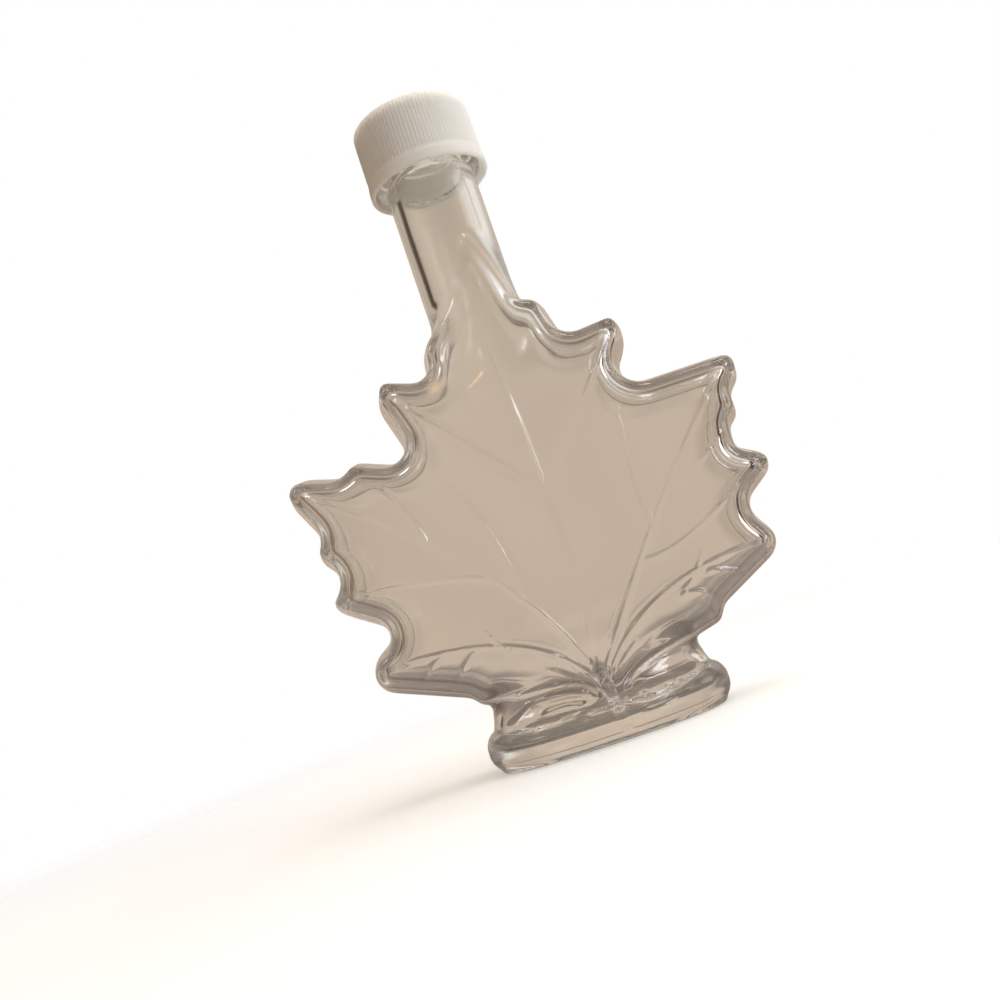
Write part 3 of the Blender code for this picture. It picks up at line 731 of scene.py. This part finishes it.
def split_along(quads, normals):
    """Each quad as two triangles, cut between the corners whose normals agree best, as along a ridge."""
    a, b, c, d = (normals[corner] for corner in quads.T)
    across = ((a * c).sum(1) < (b * d).sum(1))[:, None]
    return np.concatenate([
        np.where(across, quads[:, [1, 2, 3]], quads[:, [0, 1, 2]]),
        np.where(across, quads[:, [3, 0, 1]], quads[:, [2, 3, 0]]),
    ])


def build_glass():
    """The bottle, shaded with the field's own normals."""
    vertices, quads = surface_net(glass, NET_LOW, NET_HIGH)
    normals = unit_normals(glass, vertices)
    mesh = bpy.data.meshes.new("glass_bottle")
    mesh.from_pydata(vertices.tolist(), [], split_along(quads, normals).tolist())
    mesh.shade_smooth()
    mesh.normals_split_custom_set_from_vertices(normals.tolist())
    return add_piece("glass_bottle", mesh, glass_material(), "bottle")


def add_piece(name, mesh, finish, node):
    """A visible piece that takes the place of a solid and rides with it."""
    piece = bpy.data.objects.new(name, mesh)
    bpy.context.scene.collection.objects.link(piece)
    mesh.materials.append(finish)
    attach(piece, "root")
    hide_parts(node)
    return piece


def cap_profile():
    """(radius, height, rib share) down the inside, round the rim and up the outside to the top's middle."""
    below = CAP_INSIDE + CAP_BAND + CAP_RIBBED
    steps = [(radius * MM, height * MM, share) for radius, height, share in below]
    for turn in CAP_EDGE_TURNS:
        angle = math.radians(turn)
        radius = CAP_EDGE_RADIUS - CAP_EDGE_ROUND * (1 - math.cos(angle))
        height = CAP_TOP_Z - CAP_EDGE_ROUND * (1 - math.sin(angle))
        steps.append((radius, height, max(0.0, 1 - turn / CAP_RIBS_END)))
    return steps + [(radius * MM, height * MM, share) for radius, height, share in CAP_DISH]


def build_cap():
    """The cap turned from its profile, with grooves cut between the ribs."""
    corners = CAP_RIBS * CAP_STEPS_A_RIB
    angle = 2 * np.pi * np.arange(corners) / corners
    groove = (0.5 - 0.5 * np.cos(angle * CAP_RIBS)) ** 2
    rows = []
    for radius, height, share in cap_profile():
        reach = radius - CAP_GROOVE_DEPTH * share * groove
        rows.append(np.stack([reach * np.cos(angle), reach * np.sin(angle), np.full(corners, height)], 1))
    count = len(rows)
    index = np.arange(count * corners).reshape(count, corners)
    beside = np.roll(index, -1, 1)
    quads = np.stack([index[:-1], beside[:-1], beside[1:], index[1:]], -1).reshape(-1, 4)
    faces = quads.tolist() + [index[0][::-1].tolist(), index[-1].tolist()]
    mesh = bpy.data.meshes.new("screw_cap")
    mesh.from_pydata(np.concatenate(rows).tolist(), [], faces)
    model = bmesh.new()
    model.from_mesh(mesh)
    bmesh.ops.remove_doubles(model, verts=model.verts, dist=CAP_WELD)
    bmesh.ops.recalc_face_normals(model, faces=model.faces)
    model.to_mesh(mesh)
    model.free()
    mesh.shade_smooth()
    mesh.set_sharp_from_angle(angle=CAP_SHARP)
    return add_piece("screw_cap", mesh, cap_material(), "cap")


class Nodes:
    """Short calls for adding and joining shader nodes."""

    def __init__(self, tree):
        self.tree = tree
        self.tree.nodes.clear()

    def add(self, kind, inputs=(), **settings):
        node = self.tree.nodes.new(kind)
        for name, value in settings.items():
            setattr(node, name, value)
        for name, value in dict(inputs).items():
            if isinstance(value, bpy.types.NodeSocket):
                self.tree.links.new(value, node.inputs[name])
            else:
                node.inputs[name].default_value = value
        return node

    def place(self):
        return self.add("ShaderNodeTexCoord").outputs["Object"]

    def bump(self, height, strength, distance):
        inputs = {"Height": height, "Strength": strength, "Distance": distance}
        return self.add("ShaderNodeBump", inputs).outputs["Normal"]

    def noise(self, scale, detail, place=None):
        settings = {"Vector": place or self.place(), "Scale": scale, "Detail": detail}
        return self.add("ShaderNodeTexNoise", settings).outputs["Fac"]

    def between(self, value, low, high, start=0.0, end=1.0):
        limits = {"Value": value, "From Min": start, "From Max": end, "To Min": low, "To Max": high}
        return self.add("ShaderNodeMapRange", limits, clamp=True).outputs["Result"]

    def mix_colour(self, share, one, two):
        return self.add("ShaderNodeMix", {0: share, 6: one, 7: two}, data_type="RGBA").outputs[2]


def new_material(name):
    """A material and its empty node tree."""
    made = bpy.data.materials.new(name)
    made.use_nodes = True
    return made, Nodes(made.node_tree)


def glass_material():
    """Clear pressed glass: long faint waves in its skin, a varying polish and a see-through shadow."""
    made, nodes = new_material("clear_glass")
    waves = nodes.bump(nodes.noise(55.0, 1.0), 1.0, 0.12 * MM)
    polish = nodes.between(nodes.noise(140.0, 4.0), *GLASS_POLISH, 0.35, 0.65)
    path = nodes.add("ShaderNodeLightPath")
    inner = nodes.between(path.outputs["Ray Depth"], 0.0, GLASS_INNER_ROUGHNESS, *GLASS_INNER_TURNS)
    rough = nodes.add("ShaderNodeMath", {0: polish, 1: inner}, operation="ADD").outputs[0]
    body = nodes.add("ShaderNodeBsdfPrincipled", {
        "Base Color": (0.985, 0.99, 0.985, 1.0),
        "Roughness": rough,
        "IOR": 1.5,
        "Transmission Weight": 1.0,
        "Normal": waves,
    })
    pale = nodes.add("ShaderNodeBsdfTransparent", {"Color": (0.88, 0.88, 0.87, 1.0)})
    share = path.outputs["Is Shadow Ray"]
    both = nodes.add("ShaderNodeMixShader", {0: share, 1: body.outputs[0], 2: pale.outputs[0]})
    nodes.add("ShaderNodeOutputMaterial", {"Surface": both.outputs[0]})
    return made


def cap_material():
    """White polypropylene: satin, faintly mottled, with a fine moulded grain."""
    made, nodes = new_material("white_plastic")
    cloud = nodes.noise(90.0, 4.0)
    grain = nodes.bump(nodes.noise(2600.0, 3.0), 0.35, 0.03 * MM)
    body = nodes.add("ShaderNodeBsdfPrincipled", {
        "Base Color": nodes.mix_colour(nodes.between(cloud, 0.0, 1.0, 0.35, 0.7), CAP_PALE, CAP_DULL),
        "Roughness": nodes.between(cloud, *CAP_POLISH, 0.3, 0.7),
        "IOR": 1.49,
        "Subsurface Weight": 0.8,
        "Subsurface Radius": (1.0, 0.93, 0.84),
        "Subsurface Scale": 0.005,
        "Normal": grain,
    })
    through = nodes.add("ShaderNodeBsdfTranslucent", {"Color": (0.93, 0.92, 0.90, 1.0)})
    wall = nodes.add("ShaderNodeMixShader", {0: CAP_TRANSLUCENCE, 1: body.outputs[0], 2: through.outputs[0]})
    nodes.add("ShaderNodeOutputMaterial", {"Surface": wall.outputs[0]})
    return made


def bounced(nodes):
    """One for light that has bounced off the cap or the floor, as against what shows in the glass."""
    return nodes.between(nodes.add("ShaderNodeLightPath").outputs["Diffuse Depth"], 0.0, 1.0)


def build_floor():
    """A pale disc whose edge fades out, so that no horizon shows."""
    mesh = bpy.data.meshes.new("floor")
    model = bmesh.new()
    bmesh.ops.create_circle(model, cap_ends=True, segments=96, radius=FLOOR_RADIUS)
    model.to_mesh(mesh)
    model.free()
    floor = bpy.data.objects.new("floor", mesh)
    floor.location.z = -FLOOR_DROP
    bpy.context.scene.collection.objects.link(floor)
    made, nodes = new_material("pale_floor")
    away = nodes.add("ShaderNodeVectorMath", {0: nodes.place()}, operation="LENGTH").outputs["Value"]
    path = nodes.add("ShaderNodeLightPath")
    straight = path.outputs["Is Camera Ray"]
    plain = nodes.add("ShaderNodeMath", {0: straight, 1: bounced(nodes)}, operation="MAXIMUM")
    depth = nodes.add("ShaderNodeSeparateXYZ", {0: nodes.place()}).outputs["Y"]
    # Seen in the glass the floor turns from its front colour to a dark one behind the bottle: painted shade,
    # not the floor's own colour.
    in_glass = nodes.mix_colour(nodes.between(depth, 0.0, 1.0, *FLOOR_DARKENS), FLOOR_FRONT, FLOOR_BACK_SHADE)
    tint = nodes.mix_colour(plain.outputs[0], in_glass, FLOOR_COLOUR)
    body = nodes.add("ShaderNodeBsdfPrincipled", {
        "Base Color": tint,
        "Roughness": 0.55,
        "Alpha": nodes.between(away, 1.0, 0.0, *FLOOR_FADE),
    })
    nodes.add("ShaderNodeOutputMaterial", {"Surface": body.outputs[0]})
    mesh.materials.append(made)


def build_world():
    """White where the camera sees it, a warm room with windows in the glass, and soft light for the rest."""
    world = bpy.data.worlds.new("studio")
    bpy.context.scene.world = world
    world.cycles.sampling_method = "NONE"
    world.use_nodes = True
    nodes = Nodes(world.node_tree)
    way = nodes.add("ShaderNodeTexCoord").outputs["Generated"]
    axes = nodes.add("ShaderNodeSeparateXYZ", {0: way}).outputs
    walls = nodes.add("ShaderNodeValToRGB", {"Fac": nodes.between(axes["Z"], 0.0, 1.0, -1.0, 1.0)})
    ramp = walls.color_ramp
    while len(ramp.elements) < len(ROOM_HEIGHTS):
        ramp.elements.new(0.5)
    for element, (level, colour) in zip(ramp.elements, ROOM_HEIGHTS):
        element.position = 0.5 + 0.5 * level
        element.color = colour
    clutter = nodes.between(nodes.noise(3.4, 2.0, way), 0.0, 0.5, 0.42, 0.66)
    room = nodes.mix_colour(clutter, walls.outputs[0], ROOM_CLUTTER)
    for direction, near, far, tint in ROOM_PATCHES:
        axis = Vector(direction).normalized()
        facing = nodes.add("ShaderNodeVectorMath", {0: way, 1: axis}, operation="DOT_PRODUCT")
        share = nodes.add("ShaderNodeMapRange", {
            "Value": facing.outputs["Value"],
            "From Min": math.cos(math.radians(far)),
            "From Max": math.cos(math.radians(near)),
        }, interpolation_type="SMOOTHSTEP").outputs["Result"]
        room = nodes.mix_colour(share, room, tint)
    soft = nodes.mix_colour(nodes.between(axes["X"], 0.0, 1.0, -0.7, 0.7), SOFT_LEFT, SOFT_RIGHT)
    lit = nodes.mix_colour(bounced(nodes), room, soft)
    path = nodes.add("ShaderNodeLightPath")
    seen = nodes.mix_colour(path.outputs["Is Camera Ray"], lit, (1.0, 1.0, 1.0, 1.0))
    back = nodes.add("ShaderNodeBackground", {"Color": seen, "Strength": 1.0})
    nodes.add("ShaderNodeOutputWorld", {"Surface": back.outputs[0]})


def build_lights():
    for name, place, target, size, power, colour in LAMPS:
        data = bpy.data.lights.new(name, "AREA")
        data.shape = "SQUARE"
        data.size = size
        data.energy = power
        data.color = colour
        lamp = bpy.data.objects.new(name, data)
        lamp.location = place
        lamp.rotation_euler = (Vector(target) - Vector(place)).to_track_quat("-Z", "Y").to_euler()
        # The glass shows the room's own windows, so these lamps light only the cap and the floor.
        lamp.visible_glossy = False
        lamp.visible_transmission = False
        bpy.context.scene.collection.objects.link(lamp)


def build_camera():
    data = bpy.data.cameras.new("camera")
    data.sensor_width = SENSOR_WIDTH
    data.lens = FOCAL_LENGTH
    data.clip_start, data.clip_end = CLIP
    camera = bpy.data.objects.new("camera", data)
    axes = Matrix((CAMERA_RIGHT, -CAMERA_DOWN, -CAMERA_FORWARD)).transposed()
    camera.matrix_world = Matrix.Translation(CAMERA_AT) @ axes.to_4x4()
    bpy.context.scene.collection.objects.link(camera)
    bpy.context.scene.camera = camera


build_glass()
build_cap()
build_floor()
build_world()
build_lights()
build_camera()
bpy.context.scene.view_settings.view_transform = "Standard"
bpy.context.scene.cycles.max_bounces = LIGHT_BOUNCES
bpy.context.scene.cycles.transmission_bounces = LIGHT_BOUNCES
bpy.context.scene.cycles.glossy_bounces = LIGHT_BOUNCES
